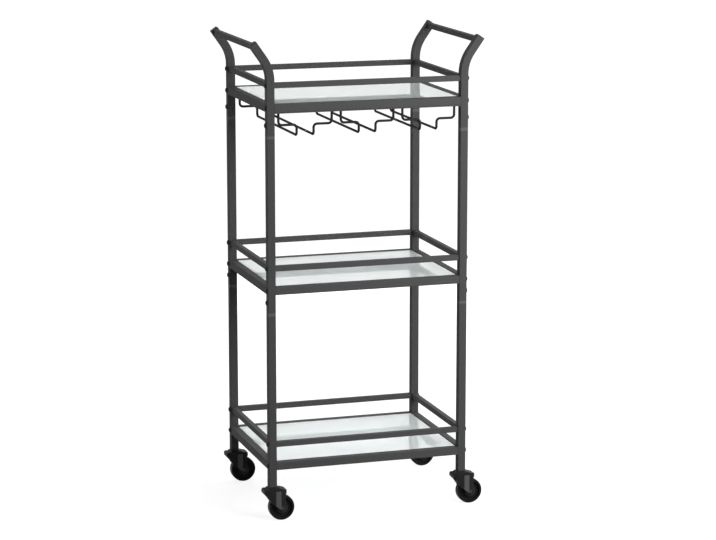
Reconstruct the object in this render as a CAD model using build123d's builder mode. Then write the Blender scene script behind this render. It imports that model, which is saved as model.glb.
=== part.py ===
from build123d import *
from math import cos, radians, sin, tan
import os

os.makedirs("parts", exist_ok=True)

# A three-tier serving cart: square steel tube, glass shelves, a bent-wire stemware rack under the
# top tier, a push handle at each end and four braked swivel casters.
# The origin is on the floor, midway between the four posts. +X is to the right, +Y to the rear.

# Posts
post_size = 16.0
post_wall = 1.2
post_corner = 1.5
post_spacing_x = 400.0
post_spacing_y = 296.0

# Tiers, measured at the top of the shelf rails
bottom_shelf_height = 120.0
middle_shelf_height = 477.0
top_shelf_height = 839.5
shelf_rail_size = 16.0
guard_rail_size = 11.0
guard_rise = 42.0
rail_wall = 1.2
rail_corner = 1.2

# Post joints, each with an inner sleeve
middle_joint_drop = 55.0
top_joint_drop = 65.0
joint_bolt_rise = 23.0
sleeve_length = 60.0
sleeve_wall = 1.5
slip_clearance = 0.1

# Bolt heads
bolt_head_radius = 5.2
bolt_head_height = 2.6
bolt_head_sides = 8

# Bent post ends and the handle bars between them
handle_bend_rise = 3.5
handle_bend_radius = 75.0
handle_lean = 35.0
handle_reach = 37.0
handle_bar_size = 11.0
handle_bar_setback = 8.0
cap_thickness = 1.5
cap_plug_depth = 8.0

# Glass shelves and the tabs that carry them
glass_thickness = 5.0
glass_drop = 0.5
glass_clearance = 1.0
glass_corner = 3.0
glass_bevel = 0.6
tab_length = 24.0
tab_reach = 10.0
tab_thickness = 2.0
tab_spacing = 220.0

# Stemware rack
rack_bar_thickness = 2.5
rack_wire_radius = 2.5
rack_wire_sides = 8
rack_slot_count = 3
rack_slot_gap = 18.7
rack_end_gap = 10.1
rack_run_half = 17.3
rack_inset = 3.0
rack_shoulder_drop = 42.5
rack_run_drop = 63.5
rack_bend_cut = 4.0

# Caster socket and stem
plug_flange = 1.5
plug_height = 26.0
stem_radius = 4.0
stem_depth = 13.0
running_clearance = 0.05
swivel_gap = 0.4

# Caster wheel
wheel_radius = 26.0
wheel_width = 18.0
axle_radius = 3.0
axle_proud = 0.6

# Caster fork
caster_trail = 18.0
caster_headroom = 16.0
wheel_side_gap = 1.0
wheel_well_gap = 2.5
well_sides = 8
fork_leg = 3.5
fork_boss_radius = 6.5
fork_lip_reach = 2.5
fork_lip_drop = 8.0
fork_lead = 21.0
fork_knee_rise = 10.0
fork_corner = 3.0
fork_edge = 2.0
crown_margin = 1.0
hood_drop = 4.6
stem_wall = 2.6

# Brake pedal
brake_pivot_gap = 2.4
brake_pivot_drop = 7.0
brake_pin_radius = 1.6
brake_pin_sides = 8
brake_mouth = 1.3
brake_cheek = 4.5
brake_side_gap = 0.6
pedal_back_gap = 1.2
pedal_length = 10.5
pedal_low_rise = 0.5
pedal_high_rise = 9.0
pedal_neck_rise = 5.0
pedal_hood_gap = 0.9
pedal_pad_inset = 1.0
pedal_corner = 2.5
slot_rise = 6.5
slot_knee_drop = 2.0
slot_relief_angle = 125.0
shoe_gap = 2.4
shoe_low_angle = 146.0
shoe_high_angle = 140.0

# Places that follow from these sizes
post_x = post_spacing_x / 2
post_y = post_spacing_y / 2
post_bore = post_size - 2 * post_wall
post_foot_height = 2 * wheel_radius + caster_headroom
post_low = post_foot_height + plug_flange
sleeve_size = post_bore - 2 * slip_clearance
rail_half_length = post_x - post_size / 2
side_half_length = post_y - post_size / 2
middle_joint = middle_shelf_height - middle_joint_drop
top_joint = top_shelf_height - top_joint_drop
shelf_tops = {"bottom": bottom_shelf_height, "middle": middle_shelf_height, "top": top_shelf_height}
ends = {"left": -1, "right": 1}
faces = {"front": -1, "rear": 1}
corners = [(f"{f}_{e}", ends[e], faces[f]) for f in faces for e in ends]

# The bent end of an upper post, as offsets outwards and heights
lean = radians(handle_lean)
handle_bend_height = top_shelf_height + guard_rise + handle_bend_rise
bend_run = handle_bend_radius * tan(lean / 2)
bend_corner_height = handle_bend_height + bend_run
tube_end_run = bend_run + handle_reach - cap_thickness
bar_run = bend_run + handle_reach - handle_bar_setback


def rail_bolt_heights(tier):
    """The heights of a tier's guard-rail bolt and shelf-rail bolt."""
    guard_top = shelf_tops[tier] + guard_rise
    return [guard_top - guard_rail_size / 2, shelf_tops[tier] - shelf_rail_size / 2]


def save(piece, name):
    """Labels a finished piece and writes it as the node of that name."""
    piece.part.label = name
    export_step(piece.part, f"parts/{name}.step")


def tube_profile(profile, size, wall, corner):
    """A square tube's section, its outer corners eased."""
    Rectangle(size, size)
    chamfer(profile.vertices(), corner)
    Rectangle(size - 2 * wall, size - 2 * wall, mode=Mode.SUBTRACT)


def straight_post(sx, sy, low, high):
    with BuildPart() as post:
        with BuildSketch(Plane(origin=(sx * post_x, sy * post_y, low))) as section:
            tube_profile(section, post_size, post_wall, post_corner)
        extrude(amount=high - low)
    return post


def bent_post(sx, sy, low):
    """An upper post: straight to just above the guard rail, then leaning outwards to its end."""
    side = Plane(origin=(sx * post_x, sy * post_y, 0), x_dir=(sx, 0, 0), z_dir=(0, -sx, 0))
    corner = (0, bend_corner_height)
    tip = (tube_end_run * sin(lean), bend_corner_height + tube_end_run * cos(lean))
    with BuildPart() as post:
        with BuildLine(side) as route:
            FilletPolyline((0, low), corner, tip, radius=handle_bend_radius)
        with BuildSketch(Plane(origin=(sx * post_x, sy * post_y, low))) as section:
            tube_profile(section, post_size, post_wall, post_corner)
        sweep(path=route.line)
    return post


def cross_rail(size, y, top):
    """A rail between two posts of the front or of the rear."""
    start = Plane(origin=(-rail_half_length, y, top - size / 2), x_dir=(0, 1, 0), z_dir=(1, 0, 0))
    with BuildPart() as rail:
        with BuildSketch(start) as section:
            tube_profile(section, size, rail_wall, rail_corner)
        extrude(amount=2 * rail_half_length)
    return rail


def side_rails(x, shelf_top):
    """The guard rail and the shelf rail welded between a front and a rear post."""
    with BuildPart() as pair:
        for size, top in ((shelf_rail_size, shelf_top), (guard_rail_size, shelf_top + guard_rise)):
            start = Plane(origin=(x, -side_half_length, top - size / 2), x_dir=(1, 0, 0), z_dir=(0, 1, 0))
            with BuildSketch(start) as section:
                tube_profile(section, size, rail_wall, rail_corner)
            extrude(amount=2 * side_half_length)
    return pair


# Posts, from the caster upwards
for name, sx, sy in corners:
    save(straight_post(sx, sy, post_low, middle_joint), f"{name}_lower_post")
    save(straight_post(sx, sy, middle_joint, top_joint), f"{name}_middle_post")
    save(bent_post(sx, sy, top_joint), f"{name}_upper_post")

# Sleeves inside the post joints
with BuildPart() as joint_sleeves:
    for name, sx, sy in corners:
        for joint in (middle_joint, top_joint):
            with BuildSketch(Plane(origin=(sx * post_x, sy * post_y, joint - sleeve_length / 2))):
                Rectangle(sleeve_size, sleeve_size)
                Rectangle(sleeve_size - 2 * sleeve_wall, sleeve_size - 2 * sleeve_wall, mode=Mode.SUBTRACT)
            extrude(amount=sleeve_length)
save(joint_sleeves, "joint_sleeves")

# Rails and side rails of each tier
for tier, shelf_top in shelf_tops.items():
    for face, sy in faces.items():
        save(cross_rail(shelf_rail_size, sy * post_y, shelf_top), f"{tier}_{face}_shelf_rail")
        save(cross_rail(guard_rail_size, sy * post_y, shelf_top + guard_rise), f"{tier}_{face}_guard_rail")
    for end, sx in ends.items():
        save(side_rails(sx * post_x, shelf_top), f"{tier}_{end}_side_rails")

# Handle bars between the bent post ends
with BuildPart() as handle_bars:
    for sx in ends.values():
        bar_x = sx * (post_x + bar_run * sin(lean))
        bar_z = bend_corner_height + bar_run * cos(lean)
        start = Plane(origin=(bar_x, -side_half_length, bar_z), x_dir=(1, 0, 0), z_dir=(0, 1, 0))
        with BuildSketch(start) as section:
            tube_profile(section, handle_bar_size, rail_wall, rail_corner)
        extrude(amount=2 * side_half_length)
save(handle_bars, "handle_bars")

# Caps that close the bent post ends
with BuildPart() as post_caps:
    for name, sx, sy in corners:
        tip_x = sx * (post_x + tube_end_run * sin(lean))
        tip_z = bend_corner_height + tube_end_run * cos(lean)
        end_face = Plane(
            origin=(tip_x, sy * post_y, tip_z), x_dir=(0, 1, 0), z_dir=(sx * sin(lean), 0, cos(lean))
        )
        with BuildSketch(end_face) as lid:
            Rectangle(post_size, post_size)
            chamfer(lid.vertices(), post_corner)
        extrude(amount=cap_thickness)
        with BuildSketch(end_face):
            Rectangle(post_bore - 2 * slip_clearance, post_bore - 2 * slip_clearance)
        extrude(amount=-cap_plug_depth)
save(post_caps, "post_caps")

# Bolt heads on the outer faces of the posts: one at each front or rear rail's end and at each post joint
with BuildPart() as frame_bolts:
    bolt_heights = [middle_joint + joint_bolt_rise, top_joint + joint_bolt_rise]
    for tier in shelf_tops:
        bolt_heights += rail_bolt_heights(tier)
    for name, sx, sy in corners:
        outside = (sx * (post_x + post_size / 2), sy * post_y, 0)
        with BuildSketch(Plane(origin=outside, x_dir=(0, sx, 0), z_dir=(sx, 0, 0))):
            with Locations(*[(0, height) for height in bolt_heights]):
                RegularPolygon(bolt_head_radius, bolt_head_sides)
        extrude(amount=bolt_head_height)
save(frame_bolts, "frame_bolts")

# Glass shelves, just below the tops of the rails
glass_x = 2 * (post_x - shelf_rail_size / 2 - glass_clearance)
glass_y = 2 * (post_y - shelf_rail_size / 2 - glass_clearance)
for tier, shelf_top in shelf_tops.items():
    with BuildPart() as glass:
        with BuildSketch(Plane.XY.offset(shelf_top - glass_drop - glass_thickness)) as pane:
            Rectangle(glass_x, glass_y)
            chamfer(pane.vertices(), glass_corner)
        extrude(amount=glass_thickness)
        chamfer(glass.faces().sort_by(Axis.Z)[-1].edges(), glass_bevel)
        chamfer(glass.faces().sort_by(Axis.Z)[0].edges(), glass_bevel)
    save(glass, f"{tier}_glass")

# Steel tabs under the glass, welded to the inner faces of the shelf rails
with BuildPart() as glass_tabs:
    for shelf_top in shelf_tops.values():
        tab_low = shelf_top - glass_drop - glass_thickness - tab_thickness
        roots = []
        for sy in faces.values():
            for sx in ends.values():
                roots.append((sx * tab_spacing / 2, sy * (post_y - shelf_rail_size / 2), -sy, 0))
        for sx in ends.values():
            roots.append((sx * (post_x - shelf_rail_size / 2), 0, 0, sx))
        for x, y, along_x, along_y in roots:
            root = Plane(origin=(x, y, tab_low), x_dir=(along_x, along_y, 0), z_dir=(0, 0, 1))
            with BuildSketch(root):
                Rectangle(tab_length, tab_reach, align=(Align.CENTER, Align.MIN))
            extrude(amount=tab_thickness)
save(glass_tabs, "glass_tabs")

# Stemware rack: two flat bars under the top shelf rails carry three pairs of bent wires
rack_bar_top = top_shelf_height - shelf_rail_size
rack_bar_low = rack_bar_top - rack_bar_thickness
with BuildPart() as rack_bars:
    for sy in faces.values():
        with BuildSketch(Plane(origin=(0, sy * post_y, rack_bar_low))):
            Rectangle(2 * rail_half_length, shelf_rail_size)
        extrude(amount=rack_bar_thickness)
save(rack_bars, "rack_bars")

rack_y = post_y - rack_inset
shoulder = top_shelf_height - rack_shoulder_drop
run = top_shelf_height - rack_run_drop
rack_width = 2 * (rail_half_length - rack_end_gap)
slot_width = (rack_width - (rack_slot_count - 1) * rack_slot_gap) / rack_slot_count
slot_pitch = slot_width + rack_slot_gap
slot_names = ["left", "middle", "right"]


def eased_route(points):
    """A wire's route with each square bend made in two equal turns."""
    route = [points[0]]
    for before, corner, after in zip(points, points[1:], points[2:]):
        route.append(corner + (before - corner).normalized() * rack_bend_cut)
        route.append(corner + (after - corner).normalized() * rack_bend_cut)
    return route + [points[-1]]


for index, slot_name in enumerate(slot_names):
    slot_x = (index - (rack_slot_count - 1) / 2) * slot_pitch
    with BuildPart() as slot:
        for side in ends.values():
            hanger_x = slot_x + side * slot_width / 2
            run_x = slot_x + side * rack_run_half
            bends = [
                Vector(hanger_x, -rack_y, rack_bar_low), Vector(hanger_x, -rack_y, shoulder),
                Vector(run_x, -rack_y, shoulder), Vector(run_x, -rack_y, run),
                Vector(run_x, rack_y, run), Vector(run_x, rack_y, shoulder),
                Vector(hanger_x, rack_y, shoulder), Vector(hanger_x, rack_y, rack_bar_low),
            ]
            with BuildLine() as wire:
                Polyline(*eased_route(bends))
            with BuildSketch(Plane(origin=bends[0], z_dir=(0, 0, -1))):
                RegularPolygon(rack_wire_radius, rack_wire_sides)
            sweep(path=wire.line, transition=Transition.RIGHT)
    save(slot, f"rack_{slot_name}_slot")

# Plugs in the post bottoms, each with the fixed stem that its caster turns on
with BuildPart() as caster_plugs:
    for name, sx, sy in corners:
        foot = Plane(origin=(sx * post_x, sy * post_y, post_foot_height))
        with BuildSketch(foot) as flange:
            Rectangle(post_size, post_size)
            chamfer(flange.vertices(), post_corner)
        extrude(amount=plug_flange)
        with BuildSketch(foot):
            Rectangle(post_bore - 2 * slip_clearance, post_bore - 2 * slip_clearance)
        extrude(amount=plug_height)
        with BuildSketch(foot):
            Circle(stem_radius)
        extrude(amount=-stem_depth)
save(caster_plugs, "caster_plugs")

# Casters: places in the upright plane through a caster, as offsets along its trail and heights
fork_gap = wheel_width + 2 * wheel_side_gap
fork_width = fork_gap + 2 * fork_leg
well_radius = wheel_radius + wheel_well_gap
shoe_radius = wheel_radius + shoe_gap
crown_half = post_size / 2 + crown_margin
crown_top = post_foot_height - swivel_gap
fork_top = crown_top - hood_drop
leg_front = caster_trail + fork_boss_radius
lip_front = leg_front + fork_lip_reach
lip_low = fork_top - fork_lip_drop
knee = (caster_trail - fork_lead, wheel_radius + fork_knee_rise)
stem_low = post_foot_height - stem_depth
slot_wall = -stem_radius - stem_wall
pivot_x = slot_wall - brake_pivot_gap
pivot_z = fork_top - brake_pivot_drop
cheek_x = pivot_x - brake_cheek
cheek_top = pivot_z + brake_cheek
slot_top = pivot_z + slot_rise
slot_knee = pivot_z - slot_knee_drop
pedal_back = slot_wall - pedal_back_gap
pedal_tip = pivot_x - pedal_length
pedal_low = pivot_z + pedal_low_rise
pedal_high = pivot_z + pedal_high_rise
pedal_neck = pivot_z + pedal_neck_rise


def round_the_axle(radius, angle):
    """The point at this distance and angle from the axle."""
    turn = radians(angle)
    return (caster_trail + radius * cos(turn), wheel_radius + radius * sin(turn))


def hood_back(height):
    """How far back the hood's rear slope lies at a height."""
    share = (crown_top - height) / (crown_top - cheek_top)
    return -crown_half + share * (cheek_x + crown_half)


def caster_side(cx, cy):
    """The upright plane through a caster, with local x along its trail and local y upwards."""
    return Plane(origin=(cx, cy, 0), x_dir=(1, 0, 0), z_dir=(0, -1, 0))


def caster_fork(cx, cy):
    """A moulded fork: two legs under a sloping hood, with the pedal's pin across a slot at its back."""
    side = caster_side(cx, cy)
    boss_low = round_the_axle(fork_boss_radius, 225)
    boss_front = round_the_axle(fork_boss_radius, 0)
    relief = round_the_axle(well_radius, slot_relief_angle)
    with BuildPart() as fork:
        with BuildSketch(side):
            with BuildLine():
                Polyline(
                    boss_front, (leg_front, lip_low), (lip_front, lip_low), (lip_front, fork_top),
                    (crown_half, crown_top), (-crown_half, crown_top), (cheek_x, cheek_top),
                    (cheek_x, pivot_z - brake_cheek), knee, boss_low,
                )
                ThreePointArc(boss_low, round_the_axle(fork_boss_radius, 270), boss_front)
            make_face()
        extrude(amount=fork_width / 2, both=True)
        chamfer(fork.edges().filter_by(Axis.Z).group_by(Axis.X)[-1], fork_corner)
        chamfer(fork.edges().filter_by(Axis.X).group_by(Axis.Z)[-1], fork_edge)
        with BuildSketch(side):
            with Locations((caster_trail, wheel_radius)):
                RegularPolygon(well_radius, well_sides, major_radius=False, rotation=180 / well_sides)
        extrude(amount=fork_gap / 2, both=True, mode=Mode.SUBTRACT)
        with BuildSketch(side):
            with BuildLine():
                Polyline(
                    (pedal_tip, slot_top), (slot_wall, slot_top), (slot_wall, slot_knee), relief,
                    (relief[0], knee[1]), (pedal_tip, knee[1]), close=True,
                )
            make_face()
        extrude(amount=fork_gap / 2, both=True, mode=Mode.SUBTRACT)
        with BuildSketch(side):
            with Locations((pivot_x, pivot_z)):
                RegularPolygon(brake_pin_radius, brake_pin_sides)
        extrude(amount=fork_width / 2 - fork_leg / 2, both=True)
        with BuildSketch(Plane(origin=(cx, cy, crown_top))):
            Circle(stem_radius + running_clearance)
        extrude(amount=stem_low - swivel_gap - crown_top, mode=Mode.SUBTRACT)
        with BuildSketch(side):
            with Locations((caster_trail, wheel_radius)):
                Circle(axle_radius + running_clearance)
        extrude(amount=fork_width / 2, both=True, mode=Mode.SUBTRACT)
    return fork


def caster_axle(cx, cy):
    with BuildPart() as axle:
        with BuildSketch(caster_side(cx + caster_trail, cy)):
            with Locations((0, wheel_radius)):
                Circle(axle_radius)
        extrude(amount=fork_width / 2 + axle_proud, both=True)
    return axle


def caster_wheel(cx, cy):
    with BuildPart() as wheel:
        with BuildSketch(caster_side(cx + caster_trail, cy)):
            with Locations((0, wheel_radius)):
                Circle(wheel_radius)
                Circle(axle_radius + running_clearance, mode=Mode.SUBTRACT)
        extrude(amount=wheel_width / 2, both=True)
    return wheel


def brake_pedal(cx, cy):
    """A pedal clipped on its pin: pressing the tip swings the shoe below towards the tread."""
    side = caster_side(cx, cy)
    pad_top = (hood_back(pedal_high) - pedal_hood_gap, pedal_high)
    pad_neck = (hood_back(pedal_neck) - pedal_hood_gap, pedal_neck)
    shoe_low = round_the_axle(shoe_radius, shoe_low_angle)
    shoe_high = round_the_axle(shoe_radius, shoe_high_angle)
    with BuildPart() as pedal:
        with BuildSketch(side):
            with BuildLine():
                Polyline(
                    (pedal_tip, pedal_high), pad_top, pad_neck,
                    (pivot_x, pedal_neck), (pedal_back, pivot_z), (pedal_back, slot_knee),
                    shoe_high, shoe_low, (pedal_tip, pedal_low), close=True,
                )
            make_face()
        extrude(amount=fork_gap / 2 - brake_side_gap, both=True)
        with BuildSketch(side):
            with BuildLine():
                Polyline(
                    (pedal_tip, pedal_high), pad_top, pad_neck, (pad_neck[0], pedal_low),
                    (pedal_tip, pedal_low), close=True,
                )
            make_face()
        extrude(amount=fork_width / 2 - pedal_pad_inset, both=True)
        chamfer(pedal.edges().filter_by(Axis.Y).group_by(Axis.X)[0].sort_by(Axis.Z)[-1], pedal_corner)
        with BuildSketch(side):
            with Locations((pivot_x, pivot_z)):
                Circle(brake_pin_radius + running_clearance)
                Rectangle(2 * brake_mouth, slot_rise, align=(Align.CENTER, Align.MIN))
        extrude(amount=fork_gap / 2, both=True, mode=Mode.SUBTRACT)
    return pedal


for name, sx, sy in corners:
    cx = sx * post_x
    cy = sy * post_y
    save(caster_fork(cx, cy), f"{name}_caster_fork")
    save(caster_axle(cx, cy), f"{name}_caster_axle")
    save(caster_wheel(cx, cy), f"{name}_caster_wheel")
    save(brake_pedal(cx, cy), f"{name}_brake_pedal")
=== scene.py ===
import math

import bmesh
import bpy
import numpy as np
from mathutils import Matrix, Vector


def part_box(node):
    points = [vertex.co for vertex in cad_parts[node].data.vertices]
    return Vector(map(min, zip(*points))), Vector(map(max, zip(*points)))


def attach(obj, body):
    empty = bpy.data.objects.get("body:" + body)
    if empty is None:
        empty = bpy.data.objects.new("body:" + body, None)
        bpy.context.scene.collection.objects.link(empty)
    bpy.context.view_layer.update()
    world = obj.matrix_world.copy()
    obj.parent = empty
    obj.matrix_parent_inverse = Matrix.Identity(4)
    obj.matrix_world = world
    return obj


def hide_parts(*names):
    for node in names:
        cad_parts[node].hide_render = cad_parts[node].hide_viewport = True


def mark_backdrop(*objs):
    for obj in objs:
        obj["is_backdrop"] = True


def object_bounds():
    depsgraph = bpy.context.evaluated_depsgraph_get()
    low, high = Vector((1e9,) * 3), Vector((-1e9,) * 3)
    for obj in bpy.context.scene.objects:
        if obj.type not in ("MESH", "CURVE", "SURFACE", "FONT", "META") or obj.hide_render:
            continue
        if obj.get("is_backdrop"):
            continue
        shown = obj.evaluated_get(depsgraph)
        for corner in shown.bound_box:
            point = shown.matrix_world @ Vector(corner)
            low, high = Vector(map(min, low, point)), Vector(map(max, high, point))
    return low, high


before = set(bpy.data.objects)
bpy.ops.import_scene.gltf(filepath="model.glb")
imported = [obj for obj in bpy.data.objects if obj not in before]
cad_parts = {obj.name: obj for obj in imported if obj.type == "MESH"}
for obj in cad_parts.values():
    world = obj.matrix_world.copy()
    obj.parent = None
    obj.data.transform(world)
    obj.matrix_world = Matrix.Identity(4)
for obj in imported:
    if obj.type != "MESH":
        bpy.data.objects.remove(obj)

# %% [markdown]
# # A three-tier serving cart
# Square steel tube in charcoal powder coat, pale glass shelves, a bent-wire stemware rack under the
# top tier, a push handle at each end and four braked casters.
# The frame gives the main sizes. The cells below dress it: tubes with rolled corners, domed bolts,
# round wires, polished glass and moulded casters, then the light and the camera.

cad_low, cad_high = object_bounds()
MM = 0.001
X, Y, Z = np.eye(3)
print("the frame's box", [round(v, 4) for v in cad_high - cad_low])

# %% [markdown]
# ## Surfaces from arrays
# Nearly everything on the cart is a section carried along a line: a tube, a wire, a pane, a cap.
# Blender's own cubes and curves could be scaled and bevelled into these, but a grid of points takes
# each size straight from the frame. One function lays a section out as such a grid, row by row, and
# another turns any grid into a closed skin. A row may be drawn in by a small inset, which rounds the
# ends off.


# %% Grids and skins
def skin(grid, ring=False):
    """Quads between neighbouring rows and columns of a grid whose last column meets its first.
    The two end rows are closed by flat faces, or joined to each other where the rows make a ring.
    Gives the points, the quads and the end faces."""
    rows, columns = grid.shape[:2]
    r = np.arange(rows if ring else rows - 1)[:, None]
    c = np.arange(columns)[None, :]
    below, above, beside = r * columns, (r + 1) % rows * columns, (c + 1) % columns
    quads = np.stack([below + c, below + beside, above + beside, above + c], -1).reshape(-1, 4)
    first = np.arange(columns)
    ends = np.stack([first[::-1], first + (rows - 1) * columns])
    return grid.reshape(-1, 3), quads, ends[:0] if ring else ends


# %% Bars
def rounded_bar(path, side, up, width, depth, corner, inset, steps=6):
    """A rectangle with round corners carried along a path. A point is its corner's centre plus the
    corner's radius, less the row's inset, in the direction of its angle."""
    angle = np.linspace(0, np.pi / 2, steps + 1)[None, :] + np.arange(4)[:, None] * np.pi / 2
    sign = np.array([[1, 1], [-1, 1], [-1, -1], [1, -1]])
    middle = np.repeat(sign * [width / 2 - corner, depth / 2 - corner], steps + 1, axis=0)
    reach = (corner - np.asarray(inset))[:, None]
    a = middle[None, :, 0] + reach * np.cos(angle).reshape(1, -1)
    b = middle[None, :, 1] + reach * np.sin(angle).reshape(1, -1)
    return skin(path[:, None] + side[:, None] * a[..., None] + up[:, None] * b[..., None])


def eased(length, ease, steps=4):
    """Distances along a bar and insets there: a quarter circle at each end rounds its edge."""
    turn = np.linspace(0, np.pi / 2, steps)
    along, inset = ease * (1 - np.cos(turn)), ease * (1 - np.sin(turn))
    return np.concatenate([along, (length - along)[::-1]]), np.concatenate([inset, inset[::-1]])


def straight_bar(start, end, side, width, depth, corner, ease):
    """A straight bar with round corners and eased ends."""
    start, end = np.asarray(start, float), np.asarray(end, float)
    length = np.linalg.norm(end - start)
    way = (end - start) / length
    along, inset = eased(length, ease)
    path = start + along[:, None] * way
    sides = np.broadcast_to(side, path.shape)
    ups = np.broadcast_to(np.cross(way, side), path.shape)
    return rounded_bar(path, sides, ups, width, depth, corner, inset)


# %% Turned profiles
def turned(radius, height, centre, axis, across, count=48, ring=False):
    """A profile turned round an axis: each point goes round at its radius, at its height along the axis.
    A radius may be one number for a point, or a row of numbers, one for each angle."""
    angle = np.arange(count) * 2 * np.pi / count
    radius = np.broadcast_to(np.reshape(radius, (len(height), -1)), (len(height), count))
    round_way = np.cos(angle)[:, None] * across + np.sin(angle)[:, None] * np.cross(axis, across)
    return skin(centre + np.reshape(height, (-1, 1, 1)) * axis + radius[..., None] * round_way, ring)


# %% Pieces
def finish_piece(obj, finish, body, nodes):
    """Gives a piece its material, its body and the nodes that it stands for."""
    obj.data.materials.clear()
    obj.data.materials.append(finish)
    bpy.context.scene.collection.objects.link(obj)
    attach(obj, body)
    if nodes:
        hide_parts(*nodes)
    return obj


def piece(name, shells, finish, body, nodes, sharp=30):
    """Joins closed skins into one smooth piece with its faces outwards."""
    starts = np.cumsum([0] + [len(points) for points, _, _ in shells])
    faces = []
    for (_, quads, ends), start in zip(shells, starts):
        faces += (quads + start).tolist() + (ends + start).tolist()
    mesh = bpy.data.meshes.new(name)
    mesh.from_pydata(np.concatenate([points for points, _, _ in shells]).tolist(), [], faces)
    work = bmesh.new()
    work.from_mesh(mesh)
    bmesh.ops.recalc_face_normals(work, faces=work.faces)
    work.to_mesh(mesh)
    work.free()
    mesh.shade_smooth()
    mesh.set_sharp_from_angle(angle=math.radians(sharp))
    obj = bpy.data.objects.new(name, mesh)
    even = obj.modifiers.new("flat faces stay flat", "WEIGHTED_NORMAL")
    even.keep_sharp = True
    return finish_piece(obj, finish, body, nodes)


# %% [markdown]
# ## Finishes
# Powder coat is melted plastic dust: it lies in a faint orange peel, and its gloss changes a little
# from place to place. The moulded plastics have a finer grain, and the wheels are the smoothest. A
# painted picture could show all this, but the surface would have to be unwrapped for it. Each finish is
# a small node tree on Object coordinates instead, so it is the same from every side and in the
# exported model.


# %% Node helpers
def new_material(name):
    """An empty material with a shader on its output and Object coordinates."""
    material = bpy.data.materials.new(name)
    material.use_nodes = True
    nodes = material.node_tree.nodes
    shader = nodes["Principled BSDF"]
    place = nodes.new("ShaderNodeTexCoord")
    return material, shader, place.outputs["Object"]


def add_node(material, kind, **values):
    """A node with its inputs and settings filled in by name."""
    node = material.node_tree.nodes.new(kind)
    for key, value in values.items():
        socket = key.replace("_", " ").title()
        if socket in node.inputs:
            node.inputs[socket].default_value = value
        else:
            setattr(node, key, value)
    return node


def link(material, out, into):
    """Joins one node's output to another's input."""
    material.node_tree.links.new(out, into)


# %% Noise, ramps and bumps
ramp_start, ramp_end = 0.3, 0.7


def noise(material, place, scale, detail=2.0):
    """Noise with so many waves to the metre."""
    node = add_node(material, "ShaderNodeTexNoise", scale=scale, detail=detail)
    link(material, place, node.inputs["Vector"])
    return node.outputs["Fac"]


def between(material, factor, low, high):
    """A grey or colour that goes from low to high as the factor crosses the middle of its range."""
    ramp = add_node(material, "ShaderNodeValToRGB")
    stops = zip(ramp.color_ramp.elements, (ramp_start, ramp_end), (low, high))
    for element, position, value in stops:
        element.position = position
        element.color = (*value, 1) if np.ndim(value) else (value, value, value, 1)
    link(material, factor, ramp.inputs["Fac"])
    return ramp.outputs["Color"]


def bump(material, shader, height, depth, strength=1.0):
    """Raises the surface by the height, times a depth in metres."""
    node = add_node(material, "ShaderNodeBump", strength=strength, distance=depth)
    link(material, height, node.inputs["Height"])
    link(material, node.outputs["Normal"], shader.inputs["Normal"])


# %% One coat
gloss_waves = 22.0
fine_detail, soft_detail = 4.0, 3.0


def coated(name, low, high, gloss, smooth, rough, peel, grain, depth):
    """A coated or moulded surface. A fine mottle goes from the low to the high grey, the roughness varies
    slowly from smooth to rough, and a peel of so many waves to the metre rises by a depth in metres."""
    material, shader, place = new_material(name)
    shader.inputs["Specular IOR Level"].default_value = gloss
    mottle = between(material, noise(material, place, grain, fine_detail), low, high)
    link(material, mottle, shader.inputs["Base Color"])
    haze = between(material, noise(material, place, gloss_waves, soft_detail), smooth, rough)
    link(material, haze, shader.inputs["Roughness"])
    bump(material, shader, noise(material, place, peel, soft_detail), depth)
    return material


# %% [markdown]
# The frame is one charcoal coat. The posts get a copy a shade darker than the rails, and the wires a
# nearly black copy: that is painted shade. Bolts and axles are nearly black, and so are the casters. The
# paler ribs on their legs and the paler hub plates on the wheels are lit copies of the black plastic,
# painted highlights. The sleeves in the joints are zinc. One function makes them all, so a coat is one
# line: its greys, gloss, roughness, peel, mottle and depth.

# %% Coats and plastics
charcoal = coated("charcoal_powder_coat", 0.05, 0.061, 0.012, 0.5, 0.62, 900, 2600, 4e-5)
# Posts: a copy of the frame coat a shade darker, painted shade.
shaded_post_coat = coated("charcoal_post_coat_painted_shade", 0.045, 0.055, 0.012, 0.5, 0.62, 900, 2600, 4e-5)
# Wires: a nearly black copy of the frame coat, painted shade.
shaded_wire_coat = coated("rack_wire_coat_painted_shade", 0.019, 0.025, 0.012, 0.4, 0.52, 1100, 2600, 3e-5)
bolt_coat = coated("bolt_black_coat", 0.014, 0.02, 0.1, 0.32, 0.44, 1500, 3000, 2e-5)
fork_plastic = coated("fork_plastic", 0.011, 0.016, 0.05, 0.36, 0.5, 1800, 3200, 3e-5)
# Ribs: a paler copy of the fork plastic, a painted highlight for the lit strip on each leg.
rib_plastic_painted_highlight = coated("rib_plastic_painted_highlight", 0.058, 0.07, 0.1, 0.3, 0.4, 1800, 3200, 2e-5)
wheel_plastic = coated("wheel_plastic", 0.009, 0.013, 0.025, 0.24, 0.38, 700, 2400, 2e-5)
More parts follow.
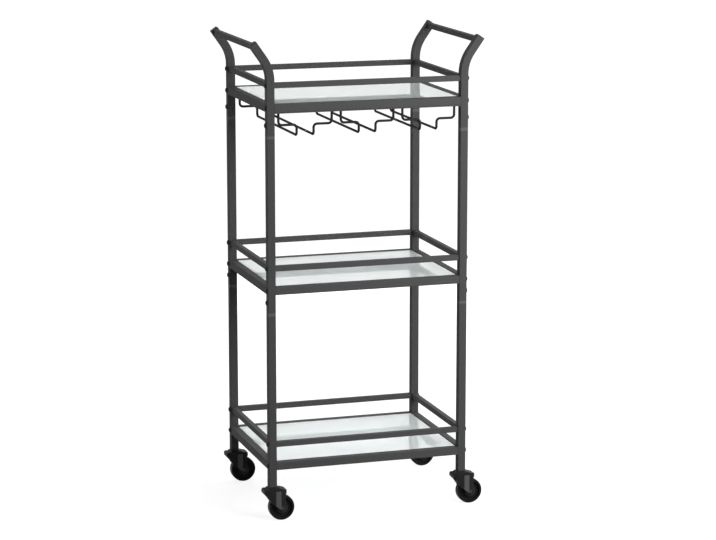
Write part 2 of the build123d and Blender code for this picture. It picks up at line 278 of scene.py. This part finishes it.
# Hub plates: a paler copy of the wheel plastic, a painted sheen on each hub.
hub_plastic_painted_sheen = coated("hub_plastic_painted_sheen", 0.018, 0.024, 0.06, 0.3, 0.45, 1600, 3200, 2e-5)
cap_plastic = coated("cap_plastic", 0.02, 0.028, 0.05, 0.42, 0.55, 1600, 3200, 3e-5)
axle_black = coated("axle_black_oxide", 0.02, 0.03, 0.2, 0.3, 0.42, 1200, 1800, 2e-5)
sleeve_zinc = coated("sleeve_zinc", 0.30, 0.42, 0.5, 0.28, 0.42, 1200, 1800, 2e-5)
sleeve_zinc.node_tree.nodes["Principled BSDF"].inputs["Metallic"].default_value = 1.0
coats = (charcoal, shaded_post_coat, shaded_wire_coat, bolt_coat, fork_plastic, rib_plastic_painted_highlight, wheel_plastic, hub_plastic_painted_sheen,
         cap_plastic, axle_black, sleeve_zinc)
print("coats", [coat.name for coat in coats])

# %% [markdown]
# A paler band is painted round each post joint. It is a painted highlight, standing for the light caught
# by the edges of two sections that meet. The band is a matter of height only, so one coat serves all the
# posts.

# %% Painted highlight at the joints
# The joint band is a painted highlight: its reach and its grey.
joint_highlight_reach = 5 * MM
joint_highlight_grey = 0.088
# A colour Mix node has several sockets of one name, so these are chosen by number.
first_colour, second_colour, mixed_colour = 6, 7, 2


def paint_joint_highlight(material, heights, reach, paler):
    """Paints a highlight into a coat near some heights: full strength there, fading to nothing at a reach.
    """
    shader = material.node_tree.nodes["Principled BSDF"]
    coat = shader.inputs["Base Color"].links[0].from_socket
    parts = add_node(material, "ShaderNodeSeparateXYZ")
    link(material, add_node(material, "ShaderNodeTexCoord").outputs["Object"], parts.inputs[0])
    for height in heights:
        away = add_node(material, "ShaderNodeMath", operation="SUBTRACT")
        away.inputs[1].default_value = height
        link(material, parts.outputs["Z"], away.inputs[0])
        size = add_node(material, "ShaderNodeMath", operation="ABSOLUTE")
        link(material, away.outputs[0], size.inputs[0])
        fade = add_node(material, "ShaderNodeMapRange", interpolation_type="SMOOTHSTEP",
                        from_max=reach, to_min=1, to_max=0)
        link(material, size.outputs[0], fade.inputs["Value"])
        mix = add_node(material, "ShaderNodeMix", data_type="RGBA")
        mix.inputs[second_colour].default_value = (paler, paler, paler, 1)
        link(material, fade.outputs[0], mix.inputs[0])
        link(material, coat, mix.inputs[first_colour])
        coat = mix.outputs[mixed_colour]
    link(material, coat, shader.inputs["Base Color"])


joints = [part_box(f"front_left_{part}_post")[0].z for part in ("middle", "upper")]
# Paints the highlight band into the post coat at both joint heights.
paint_joint_highlight(shaded_post_coat, joints, joint_highlight_reach, joint_highlight_grey)
print("joint heights in mm", [round(z / MM, 1) for z in joints])

# %% [markdown]
# The shelves are taken as glass with a frosted back, because whatever lies behind them in the photo is
# no more than a pale blur. The polished top mirrors the rails and posts when it is seen at a low angle.
# A clear glass shader would show the rails below too sharply. So the base is a rough, part see-through
# frost, and the polish is a clear coat over it. Glass is greener where more of it is looked through,
# so the sides of a pane get a deeper tint than its faces.

# %% Glass
face_tints = (0.937, 0.99, 0.988), (0.951, 0.997, 0.995)
edge_tint = (0.42, 0.62, 0.56, 1)
tint_waves, frost_waves = 9.0, 900.0
frost_roughness = 0.45, 0.6
polish_roughness = 0.03
see_through = 0.65


def frosted_glass():
    """Frost under polish. The tint follows the upright part of the face's normal, which is one on a pane's
    faces and zero on its sides."""
    material, shader, place = new_material("frosted_shelf_glass")
    facing = add_node(material, "ShaderNodeNewGeometry")
    parts = add_node(material, "ShaderNodeSeparateXYZ")
    link(material, facing.outputs["True Normal"], parts.inputs[0])
    level = add_node(material, "ShaderNodeMath", operation="ABSOLUTE")
    link(material, parts.outputs["Z"], level.inputs[0])
    face = between(material, noise(material, place, tint_waves), *face_tints)
    tint = add_node(material, "ShaderNodeMix", data_type="RGBA")
    tint.inputs[first_colour].default_value = edge_tint
    link(material, level.outputs[0], tint.inputs[0])
    link(material, face, tint.inputs[second_colour])
    link(material, tint.outputs[mixed_colour], shader.inputs["Base Color"])
    frost = between(material, noise(material, place, frost_waves, soft_detail), *frost_roughness)
    link(material, frost, shader.inputs["Roughness"])
    shader.inputs["Transmission Weight"].default_value = see_through
    shader.inputs["Specular IOR Level"].default_value = 0.0
    shader.inputs["Coat Weight"].default_value = 1.0
    shader.inputs["Coat Roughness"].default_value = polish_roughness
    return material


shelf_glass = frosted_glass()
print("glass", shelf_glass.name, "see-through share", see_through)

# %% [markdown]
# ## Tubes
# The posts and rails are cold-rolled square tube. Rolling leaves a small radius on each corner, and
# a cut end has its burr taken off, so two sections that meet show a hairline between them. A cube with
# one Bevel would round the long corners and the cut ends alike. Each tube is a rounded square carried
# along its own line instead, and its ends are eased by less than its corners.

# %% Straight posts and rails
corner_of_tube = 1.0 * MM
corner_of_rail = 0.9 * MM
cut_edge = 0.35 * MM


def middle_of(node):
    """The centre, the size and the lowest and highest corners of a node's box."""
    low, high = (np.array(corner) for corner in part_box(node))
    return (low + high) / 2, high - low, low, high


def tube_between(node, axis, side, corner):
    """The straight tube in a node's box, along one axis."""
    centre, size, low, high = middle_of(node)
    width = (size * side).sum()
    start, end = centre * (1 - axis) + low * axis, centre * (1 - axis) + high * axis
    return straight_bar(start, end, side, width, width, corner, cut_edge)


corners = [(f"{face}_{end}", sx) for face in ("front", "rear") for end, sx in (("left", -1), ("right", 1))]
tiers = ("bottom", "middle", "top")
for name, _ in corners:
    for part in ("lower", "middle"):
        node = f"{name}_{part}_post"
        shell = tube_between(node, Z, X, corner_of_tube)
        piece(f"{node}_tube", [shell], shaded_post_coat, "frame", [node])
for tier in tiers:
    for face in ("front", "rear"):
        for rail, corner in (("shelf", corner_of_tube), ("guard", corner_of_rail)):
            node = f"{tier}_{face}_{rail}_rail"
            shell = tube_between(node, X, Y, corner)
            piece(f"{node}_tube", [shell], charcoal, "frame", [node])
print("straight tubes", len(corners) * 2 + len(tiers) * 4)

# %% [markdown]
# The side rails and the handle bars run from front to rear. One node holds a guard rail and a shelf
# rail, so its box gives their outer heights, and the front rails give the size of each tube.

# %% Side rails and handle bars
guard_size = middle_of("top_front_guard_rail")[1][2]
shelf_size = middle_of("top_front_shelf_rail")[1][2]


def bar_along_y(x, top, size, low, high, corner):
    """A square bar from front to rear, below a given top."""
    z = top - size / 2
    return straight_bar((x, low[1], z), (x, high[1], z), Z, size, size, corner, cut_edge)


for tier in tiers:
    for end in ("left", "right"):
        node = f"{tier}_{end}_side_rails"
        centre, _, low, high = middle_of(node)
        guard = bar_along_y(centre[0], high[2], guard_size, low, high, corner_of_rail)
        shelf = bar_along_y(centre[0], low[2] + shelf_size, shelf_size, low, high, corner_of_tube)
        piece(f"{node}_tubes", [guard, shelf], charcoal, "frame", [node])
_, size, low, high = middle_of("handle_bars")
handles = [bar_along_y(x, high[2], size[2], low, high, corner_of_rail)
           for x in (low[0] + size[2] / 2, high[0] - size[2] / 2)]
piece("handle_bar_tubes", handles, charcoal, "frame", ["handle_bars"])
print("rail sizes in mm", round(guard_size / MM, 2), round(shelf_size / MM, 2))

# %% [markdown]
# The upper posts are bent on a mandrel: straight, then an arc, then straight again to the handle. A
# crowned plastic cap closes each open end. A curve with a square profile could make such a post, but
# its foot would be cut sharp. Here the section is carried along a line that is worked out, so its side
# direction leans as the tube does and its foot is eased like the other cut ends.

# %% A bent post's line
handle_lean = math.radians(35)
bend_radius = 75 * MM
bend_steps = 28


def bent_line(node, sx):
    """Points of a bent post's middle line with the direction of its section's side at each. The end of
    the line follows from the node's reach and height, less half a section turned by the lean."""
    centre, size, low, high = middle_of(node)
    post = size[1]
    run = (size[0] - post / 2 - post / 2 * math.cos(handle_lean)) / math.sin(handle_lean)
    knee = high[2] - post / 2 * math.sin(handle_lean) - run * math.cos(handle_lean)
    start = knee - bend_radius * math.tan(handle_lean / 2)
    foot = (low[0] if sx > 0 else high[0]) + sx * post / 2
    turn = np.linspace(0, handle_lean, bend_steps)
    arc = np.stack([bend_radius * (1 - np.cos(turn)), start + bend_radius * np.sin(turn)], 1)
    tip = np.array([run * math.sin(handle_lean), knee + run * math.cos(handle_lean)])
    rise, inset = eased(start - low[2], cut_edge)
    half = len(rise) // 2
    foot_line = np.stack([np.zeros(half), low[2] + rise[:half]], 1)
    line = np.concatenate([foot_line, arc, tip[None]])
    lean = np.concatenate([np.zeros(half), turn, [handle_lean]])
    inset = np.concatenate([inset[:half], np.zeros(bend_steps + 1)])
    path = np.stack([foot + sx * line[:, 0], np.full(len(line), centre[1]), line[:, 1]], 1)
    side = np.stack([np.cos(lean), np.zeros(len(line)), -sx * np.sin(lean)], 1)
    return path, side, inset, post


# %% Bent posts and their caps
cap_height = 1.5 * MM
cap_crown = 0.55 * cap_height
cap_steps = 6
caps = []
for name, sx in corners:
    node = f"{name}_upper_post"
    path, side, inset, post = bent_line(node, sx)
    up = np.broadcast_to(Y, path.shape)
    shell = rounded_bar(path, side, up, post, post, corner_of_tube, inset)
    piece(f"{node}_tube", [shell], shaded_post_coat, "frame", [node])
    way = np.cross(side[-1], Y)
    turn = np.linspace(0, np.pi / 2, cap_steps)
    rise = np.concatenate([[0], cap_height - cap_crown * (1 - np.sin(turn))])
    drawn_in = np.concatenate([[0], cap_crown * (1 - np.cos(turn))])
    line = path[-1] + rise[:, None] * way
    sides, ups = (np.broadcast_to(direction, line.shape) for direction in (side[-1], Y))
    caps.append(rounded_bar(line, sides, ups, post, post, corner_of_tube, drawn_in))
piece("post_end_caps", caps, cap_plastic, "frame", ["post_caps"])
print("bent posts", len(corners), "and caps", len(caps))

# %% [markdown]
# ## Bolts
# Each rail end and each post joint has a button-head bolt: a shallow dome with a six-sided socket.
# A head of this width stands a little over three millimetres high. A Screw modifier could turn the
# dome, but not the socket with it. So the whole head is one profile turned as a grid, and in the
# socket the radius depends on the angle: the distance to a hexagon's side is its half width over the
# cosine of the angle from the middle of that side.

# %% A button head
head_height = 3.3 * MM
head_edge = 1.1 * MM
dome_turn = math.radians(55)
socket_half = 2.0 * MM
socket_depth = 2.0 * MM
socket_lip = 0.1 * MM
socket_mouth, socket_floor = 1.06, 0.96
dome_steps = 8
head_count = 36
post_centre, _, _, post_high = middle_of("front_right_lower_post")
head_radius = post_centre[1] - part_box("frame_bolts")[0].y


def button_head(seat, outwards):
    """A dome that rises by the sine and draws in by the cosine of one turn, then a hexagonal socket."""
    turn = np.linspace(0, dome_turn, dome_steps)
    dome_radius = head_radius * np.cos(turn)
    dome_height = head_edge + (head_height - head_edge) * np.sin(turn) / math.sin(dome_turn)
    angle = np.arange(head_count) * 2 * np.pi / head_count
    hexagon = socket_half / np.cos((angle + np.pi / 6) % (np.pi / 3) - np.pi / 6)
    outside = np.concatenate([[head_radius], dome_radius])[:, None]
    round_rows = np.broadcast_to(outside, (dome_steps + 1, head_count))
    radius = np.concatenate([round_rows, [hexagon * socket_mouth, hexagon, hexagon * socket_floor]])
    height = np.concatenate([[0], dome_height, head_height - np.array([0, socket_lip, socket_depth])])
    return turned(radius, height, seat, outwards, Y, head_count)


# %% Bolts on the posts
joint_bolt_rise = 23 * MM
bolted_rails = [f"{tier}_front_{rail}_rail" for tier in tiers for rail in ("shelf", "guard")]
bolt_heights = [middle_of(rail)[0][2] for rail in bolted_rails] + [z + joint_bolt_rise for z in joints]
post_y = abs(post_centre[1])
heads = [button_head(np.array([sx * post_high[0], sy * post_y, z]), sx * X)
         for sx in (-1, 1) for sy in (-1, 1) for z in bolt_heights]
piece("button_heads", heads, bolt_coat, "frame", ["frame_bolts"])
print("bolts", len(heads), "head radius in mm", round(head_radius / MM, 2))

# %% [markdown]
# ## Glass shelves
# A shelf pane is cut, its corners are clipped round and its edge is ground to a pencil round. A cube
# with two Bevels could show that. It is also a very short bar, though: a large rounded rectangle carried
# a few millimetres upwards and eased at both ends, so the function for bars makes it in one go.

# %% Panes
pane_corner = 3.2 * MM
pencil_round = 1.2 * MM
for tier in tiers:
    node = f"{tier}_glass"
    centre, size, low, high = middle_of(node)
    shell = straight_bar((centre[0], centre[1], low[2]), (centre[0], centre[1], high[2]), X,
                         size[0], size[1], pane_corner, pencil_round)
    piece(f"{node}_pane", [shell], shelf_glass, "frame", [node])
print("pane size in mm", (size / MM).round(1))

# %% [markdown]
# ## Stemware rack
# Each slot is a pair of wires, bent in six places. At a hanger's top the wire is welded to the flat
# bar, which leaves a small flare. A curve with a round profile could follow a wire too. Here the bends
# are quarter circles between straight runs, so a line is worked out from seven runs and one radius, and
# the circle that is carried along it grows a little at the welds.

# %% A wire's line
wire_bend = 7 * MM
weld_length = 2.6 * MM
weld_rows = 5


def bent_wire(points, steps=12):
    """A wire's line, its direction and the distances along a weld. A square bend swings from the way in
    to the way out: its centre lies one radius back and one across, and a point is minus the way out times
    the cosine plus the way in times the sine."""
    ways = np.diff(points, axis=0)
    ways /= np.linalg.norm(ways, axis=1)[:, None]
    into, out = ways[:-1, None], ways[1:, None]
    turn = np.linspace(0, np.pi / 2, steps)[None, :, None]
    bends = points[1:-1, None] + wire_bend * (out - into - out * np.cos(turn) + into * np.sin(turn))
    ways_round = into * np.cos(turn) + out * np.sin(turn)
    weld = np.linspace(0, weld_length, weld_rows)[:, None]
    first, last = points[0] + weld * ways[0], points[-1] - weld[::-1] * ways[-1]
    line = np.concatenate([first, bends.reshape(-1, 3), last])
    first_way, last_way = (np.repeat(way, weld_rows, 0) for way in (ways[:1], ways[-1:]))
    way = np.concatenate([first_way, ways_round.reshape(-1, 3), last_way])
    return line, way, weld[:, 0]


# %% A round wire
wire_radius = 2.5 * MM
wire_sides = 24
weld_flare = 0.9 * MM


def round_wire(points):
    """A circle carried along a wire's line. Its two directions are square to the wire and to one slanting
    vector that no part of the wire follows."""
    line, way, weld = bent_wire(points)
    side = np.cross(way, np.ones(3))
    side /= np.linalg.norm(side, axis=1)[:, None]
    up = np.cross(way, side)
    flare = weld_flare * (1 - weld / weld_length) ** 2
    radius = np.full(len(line), wire_radius)
    radius[:weld_rows] += flare
    radius[-weld_rows:] += flare[::-1]
    angle = np.arange(wire_sides) * 2 * np.pi / wire_sides
    a, b = radius[:, None] * np.cos(angle), radius[:, None] * np.sin(angle)
    return skin(line[:, None] + side[:, None] * a[..., None] + up[:, None] * b[..., None])


# %% Slots of the rack
run_half = 17.3 * MM
shoulder_drop = 42.5 * MM
slots = ("left", "middle", "right")
shelf_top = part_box("top_front_shelf_rail")[1].z
for name in slots:
    node = f"rack_{name}_slot"
    centre, size, low, high = middle_of(node)
    front, rear = low[1] + wire_radius, high[1] - wire_radius
    shoulder, run = shelf_top - shoulder_drop, low[2] + wire_radius
    wires = []
    for sx in (-1, 1):
        hanger_x = centre[0] + sx * (size[0] / 2 - wire_radius)
        run_x = centre[0] + sx * run_half
        wires.append(round_wire(np.array([
            (hanger_x, front, high[2]), (hanger_x, front, shoulder), (run_x, front, shoulder),
            (run_x, front, run), (run_x, rear, run), (run_x, rear, shoulder),
            (hanger_x, rear, shoulder), (hanger_x, rear, high[2]),
        ])))
    # The wires take the darker coat, which is painted shade.
    piece(f"{node}_wires", wires, shaded_wire_coat, "frame", [node])
print("wires", len(wires) * len(slots), "points in one", len(wires[0][0]))

# %% [markdown]
# ## Casters
# A caster's fork and pedal are injection moulded, and a mould leaves no knife edges. They could be
# modelled anew, but the CAD solids already have the right shape. So a copy of each is merged, its flat
# faces are joined and its sharp edges are rounded by a Bevel.

# %% Moulded fork and pedal
fork_edge = 0.7 * MM
pedal_edge = 0.5 * MM
edge_segments = 3
sharp_angle = math.radians(32)
flat_angle = math.radians(0.5)
merge_distance = 0.001 * MM


def moulded(node, finish, body, width):
    """A copy of a solid with flat faces joined and its edges rounded."""
    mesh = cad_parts[node].data.copy()
    mesh.name = f"{node}_moulding"
    work = bmesh.new()
    work.from_mesh(mesh)
    bmesh.ops.remove_doubles(work, verts=work.verts, dist=merge_distance)
    bmesh.ops.dissolve_limit(work, angle_limit=flat_angle, verts=work.verts, edges=work.edges)
    work.to_mesh(mesh)
    work.free()
    mesh.shade_smooth()
    obj = bpy.data.objects.new(mesh.name, mesh)
    edge = obj.modifiers.new("moulded edges", "BEVEL")
    edge.width, edge.segments = width, edge_segments
    edge.limit_method, edge.angle_limit = "ANGLE", sharp_angle
    edge.harden_normals = True
    return finish_piece(obj, finish, body, [node])


for name, _ in corners:
    moulded(f"{name}_caster_fork", fork_plastic, f"{name}_caster", fork_edge)
    moulded(f"{name}_brake_pedal", fork_plastic, f"{name}_brake", pedal_edge)
print("forks and pedals", 2 * len(corners))

# %% [markdown]
# A leg is stiffened by a smooth upright rib that runs from the hood to a round boss at the axle. The
# pad of the pedal has three ridges that give a foot some grip. They could be joined to the mouldings
# by Booleans. Bars and low discs that are sunk a little into them look the same and keep clean edges.

# %% Ribs
rib_width = 10.8 * MM
rib_lead = 8.3 * MM
rib_proud = 0.5 * MM
rib_sunk = 0.6 * MM
rib_foot_slope = -0.85
rib_foot_rise = 0.8 * MM
rib_corner = 0.45 * MM
small_ease = 0.3 * MM
hood_depth = 7.0 * MM


def leg_rib(fork, axle, face, sy):
    """A bar from the axle's height to the hood, its foot slid along a slope: a point's height is kept at
    the hood and falls in proportion towards the sloping foot."""
    x, depth = axle[0] - rib_lead, rib_proud + rib_sunk
    y, top = face + sy * (rib_proud - rib_sunk) / 2, fork[3][2] - hood_depth
    bottom, head = (x, y, axle[2]), (x, y, top)
    points, *faces = straight_bar(bottom, head, X, rib_width, depth, rib_corner, small_ease)
    foot = axle[2] + rib_foot_rise + rib_foot_slope * (points[:, 0] - x)
    points[:, 2] = top - (top - points[:, 2]) * (top - foot) / (top - axle[2])
    return points, *faces


# %% Bosses
boss_radius = 6.3 * MM
boss_share = 0.6


def axle_boss(axle, face, sy):
    """A low round boss at an axle's end, a share of a rib's height, with its edge eased."""
    r = np.array([boss_radius, boss_radius, boss_radius - small_ease])
    h = np.array([-rib_sunk, rib_proud - small_ease, rib_proud]) * boss_share
    return turned(r, h, np.array([axle[0], face, axle[2]]), sy * Y, X)


# %% Ribs, bosses and ridges in place
ridge_count = 3
ridge_width = 0.9 * MM
ridge_corner = 0.4 * MM
ridge_pitch = 1.9 * MM
ridge_start = 3.4 * MM
ridge_margin = 1.5 * MM
for name, _ in corners:
    fork, axle = middle_of(f"{name}_caster_fork"), middle_of(f"{name}_caster_axle")[0]
    sides = [(fork[0][1] + sy * fork[1][1] / 2, sy) for sy in (-1, 1)]
    ribs = [leg_rib(fork, axle, face, sy) for face, sy in sides]
    # The ribs are painted paler than the fork: a painted highlight.
    piece(f"{name}_leg_ribs", ribs, rib_plastic_painted_highlight, f"{name}_caster", [])
    bosses = [axle_boss(axle, face, sy) for face, sy in sides]
    piece(f"{name}_axle_bosses", bosses, fork_plastic, f"{name}_caster", [])
    centre, size, low, high = middle_of(f"{name}_brake_pedal")
    reach = size[1] / 2 - ridge_margin
    ridges = [straight_bar((x, centre[1] - reach, high[2]), (x, centre[1] + reach, high[2]), X,
                           ridge_width, ridge_width, ridge_corner, small_ease)
              for x in low[0] + ridge_start + ridge_pitch * np.arange(ridge_count)]
    piece(f"{name}_pedal_ridges", ridges, fork_plastic, f"{name}_brake", [])
print("ribs", 2 * len(corners), "ridges", ridge_count * len(corners))

# %% [markdown]
# A wheel is a moulded disc with a flat tread, round shoulders, a dished web and a hub, and its axle is
# a pin with a riveted head at each end. A stack of cylinders could give the main steps, but one section
# turned about the axle's line holds the shoulders, the dish and the eased edges as well. The wheel's
# section is a closed ring, which leaves the bore open.

# %% A wheel's section
wheel_bore = 3.05 * MM
hub_radius = 11.5 * MM
hub_ease = 0.4 * MM
dish_depth = 5.5 * MM
dish_slope = 1.0 * MM
rim_width = 5.0 * MM
tread_shoulder = 2.6 * MM
shoulder_steps = 9


def wheel_profile(radius, half):
    """Half a wheel's section, from the bore outwards, then the other half mirrored: bore, hub end, hub
    side, dish, inside of the rim, rim side, a quarter-round shoulder and the tread."""
    rim, dish = radius - rim_width, half - dish_depth
    r = [wheel_bore, hub_radius - hub_ease, hub_radius, hub_radius + hub_ease,
         rim - dish_slope, rim, rim + hub_ease]
    h = [half, half, half - hub_ease, dish, dish, half - hub_ease, half]
    turn = np.linspace(0, np.pi / 2, shoulder_steps)
    r = np.concatenate([r, radius - tread_shoulder * (1 - np.sin(turn))])
    h = np.concatenate([h, half - tread_shoulder * (1 - np.cos(turn))])
    return np.concatenate([r, r[::-1]]), np.concatenate([h, -h[::-1]])


# %% Hub plates and rivets
wheel_count = 96
hub_proud = 0.6 * MM
rivet_radius = 4.2 * MM
rivet_dome = 0.55 * MM
rivet_steps = 6


def hub_plate(centre, half, sy):
    """A ring on a hub's end: its inner and outer edges are eased, and its foot is sunk in the hub."""
    inner, outer = wheel_bore + hub_ease, hub_radius - hub_ease
    r = np.array([inner, inner, inner + hub_ease, outer - hub_ease, outer, outer])
    rise = half + np.array([-hub_ease, hub_proud - hub_ease, hub_proud])
    return turned(r, np.concatenate([rise, rise[::-1]]), centre, sy * Y, X, wheel_count, ring=True)


def rivet_profile(pin, reach):
    """An axle's section from end to end: a head that rises by the sine and draws in by the cosine of a
    quarter turn, the pin, and the same head again."""
    turn = np.linspace(0, np.pi / 2, rivet_steps, endpoint=False)
    neck = reach - rivet_dome
    head_r, head_h = rivet_radius * np.cos(turn), neck + rivet_dome * np.sin(turn)
    r = np.concatenate([head_r[::-1], [pin, pin], head_r])
    return r, np.concatenate([-head_h[::-1], [-neck, neck], head_h])


# %% Wheels and axles
rim_inside = 0.01 * MM
for name, _ in corners:
    node = f"{name}_caster_wheel"
    centre, size = middle_of(node)[:2]
    r, h = wheel_profile(size[2] / 2 - rim_inside, size[1] / 2)
    wheel = turned(r, h, centre, Y, X, wheel_count, ring=True)
    piece(f"{node}_turned", [wheel], wheel_plastic, f"{name}_wheel", [node])
    plates = [hub_plate(centre, size[1] / 2, sy) for sy in (-1, 1)]
    # The hub plates are painted paler than the wheel: a painted sheen.
    piece(f"{name}_hub_plates", plates, hub_plastic_painted_sheen, f"{name}_wheel", [])
    node = f"{name}_caster_axle"
    centre, size = middle_of(node)[:2]
    r, h = rivet_profile(size[0] / 2, size[1] / 2)
    axle = turned(r, h, centre, Y, X, wheel_count // 2)
    piece(f"{node}_rivet", [axle], axle_black, f"{name}_caster", [node])
print("wheels and axles", 2 * len(corners))

# %% [markdown]
# ## Plain steel and plastic left as CAD
# The flat bars of the rack, the tabs under the glass, the sleeves in the joints and the plugs in the
# post feet have the right shape already, so they only get a finish.

# %% Finishes for the plain nodes
plain_finishes = {"rack_bars": charcoal, "glass_tabs": charcoal, "joint_sleeves": sleeve_zinc,
                  "caster_plugs": cap_plastic}
for node, coat in plain_finishes.items():
    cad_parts[node].material_slots[0].material = coat
print("plain nodes", list(plain_finishes))

# %% [markdown]
# ## Studio
# In the photo the floor and the surroundings are white. A white floor under strong lamps could give
# that, but it would throw much light up at the cart. So the floor is grey, and floor and surroundings
# glow only for the camera, in reflections and through glass, while lamps and sky stay at a plain level
# on the cart itself.


# %% Rays that see the glow
def seen(nodes, links):
    """One where a ray comes from the camera or from a gloss or glass surface, else zero."""
    path = nodes.new("ShaderNodeLightPath")
    total = path.outputs["Is Camera Ray"]
    for name in ("Is Glossy Ray", "Is Transmission Ray"):
        either = nodes.new("ShaderNodeMath")
        either.operation = "MAXIMUM"
        links.new(total, either.inputs[0])
        links.new(path.outputs[name], either.inputs[1])
        total = either.outputs[0]
    return total


# %% Floor
floor_half = 40.0
floor_grey = 0.2
floor_roughness = 0.9
glow_start, glow_end = 0.5, 2.5
near_glow, far_glow = 0.82, 1.0
white = (1, 1, 1, 1)


def white_floor():
    """A grey floor that glows for those rays, more and more from near the cart to far off, where no lamp
    reaches. Near the cart the lamps make up the rest, so its shadow stays."""
    material, shader, place = new_material("white_floor")
    shader.inputs["Base Color"].default_value = (floor_grey, floor_grey, floor_grey, 1)
    shader.inputs["Roughness"].default_value = floor_roughness
    shader.inputs["Specular IOR Level"].default_value = 0.0
    shader.inputs["Emission Color"].default_value = white
    away = add_node(material, "ShaderNodeVectorMath", operation="LENGTH")
    link(material, place, away.inputs[0])
    level = add_node(material, "ShaderNodeMapRange", from_min=glow_start, from_max=glow_end,
                     to_min=near_glow, to_max=far_glow)
    link(material, away.outputs["Value"], level.inputs["Value"])
    glow = add_node(material, "ShaderNodeMath", operation="MULTIPLY")
    link(material, seen(material.node_tree.nodes, material.node_tree.links), glow.inputs[0])
    link(material, level.outputs[0], glow.inputs[1])
    link(material, glow.outputs[0], shader.inputs["Emission Strength"])
    return material


square = np.array([(-1, -1, 0), (1, -1, 0), (1, 1, 0), (-1, 1, 0)]) * floor_half
floor_mesh = bpy.data.meshes.new("floor")
floor_mesh.from_pydata(square.tolist(), [], [(0, 1, 2, 3)])
floor_mesh.materials.append(white_floor())
floor = bpy.data.objects.new("floor", floor_mesh)
bpy.context.scene.collection.objects.link(floor)
print("floor", 2 * floor_half, "m across")

# %% Surroundings
sky_level = 0.3
world = bpy.data.worlds.new("studio")
world.use_nodes = True
nodes, links = world.node_tree.nodes, world.node_tree.links
sky = nodes["Background"]
sky.inputs["Color"].default_value = white
sky.inputs["Strength"].default_value = sky_level
backdrop = nodes.new("ShaderNodeBackground")
backdrop.inputs["Color"].default_value = white
choice = nodes.new("ShaderNodeMixShader")
links.new(seen(nodes, links), choice.inputs["Fac"])
links.new(sky.outputs[0], choice.inputs[1])
links.new(backdrop.outputs[0], choice.inputs[2])
links.new(choice.outputs[0], nodes["World Output"].inputs["Surface"])
bpy.context.scene.world = world
print("sky at", sky_level)

# %% [markdown]
# Five soft boxes do the rest. The key stands to the right of the camera, because the right front
# post is the lightest in the photo. A weak one hangs above the cart, one stands at its right end and
# reaches in between the shelves and through the glass, a weak one at the left end lifts the sides
# that the camera sees, and one behind the cart lights the rear for the other views.


# %% Lamps
def soft_box(name, place, aim, size, power, in_glass=False):
    """A square area lamp that looks from its place towards an aim, sizes in metres and power in watts. No
    gloss mirrors it, and its light passes glass only where asked, so that it doesn't burn out a pane."""
    lamp = bpy.data.lights.new(name, "AREA")
    lamp.size, lamp.energy = size, power
    obj = bpy.data.objects.new(name, lamp)
    place, aim = np.array(place, float), np.array(aim, float)
    x, y, z = aim - place
    obj.location = place
    obj.rotation_euler = (math.atan2(math.hypot(x, y), -z), 0, math.atan2(-x, y))
    obj.visible_glossy, obj.visible_transmission = False, in_glass
    bpy.context.scene.collection.objects.link(obj)
    return obj


aim = (0, 0, 0.5)
lamps = [
    soft_box("key", (0.9, -1.35, 1.1), aim, 1.1, 47),
    soft_box("top", (0, 0.2, 3.0), aim, 2.0, 16),
    soft_box("side", (2.6, 0.5, 1.0), aim, 1.5, 78, in_glass=True),
    soft_box("fill", (-2.6, 0.3, 1.1), aim, 1.5, 21),
    soft_box("back", (0.4, 2.2, 0.9), aim, 1.5, 45),
]
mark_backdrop(floor, *lamps)
print("lamps", [(lamp.name, lamp.data.energy) for lamp in lamps])

# %% [markdown]
# ## Camera
# A view set by eye leaves rails and posts some pixels off. This one was solved from about forty points
# on the photo: post edges, rail heights, handle ends and wheels. The camera stands about five metres
# off, a little left of the cart and above it, with a long lens.

# %% Camera
picture_width = 716
focal_pixels = 2537.2
sensor_width = 36.0
camera_place = (-1.5198, -4.8680, 1.4855)
yaw, pitch = 0.30769, -0.19639
lens = bpy.data.cameras.new("photo_view")
lens.sensor_width = sensor_width
lens.lens = focal_pixels / picture_width * sensor_width
camera = bpy.data.objects.new("photo_view", lens)
camera.location = camera_place
camera.rotation_euler = (math.pi / 2 + pitch, 0, -yaw)
bpy.context.scene.collection.objects.link(camera)
bpy.context.scene.camera = camera
bpy.context.scene.view_settings.view_transform = "Standard"
print("lens in mm", round(lens.lens, 2))

# %% [markdown]
# ## Size
# The dressed cart must stay inside the box that the frame had, so both boxes are written down and
# compared.

# %% Boxes before and after
low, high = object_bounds()
growth = [[round(v / MM, 3) for v in side] for side in (cad_low - low, high - cad_high)]
print("grew by, in mm", *growth)
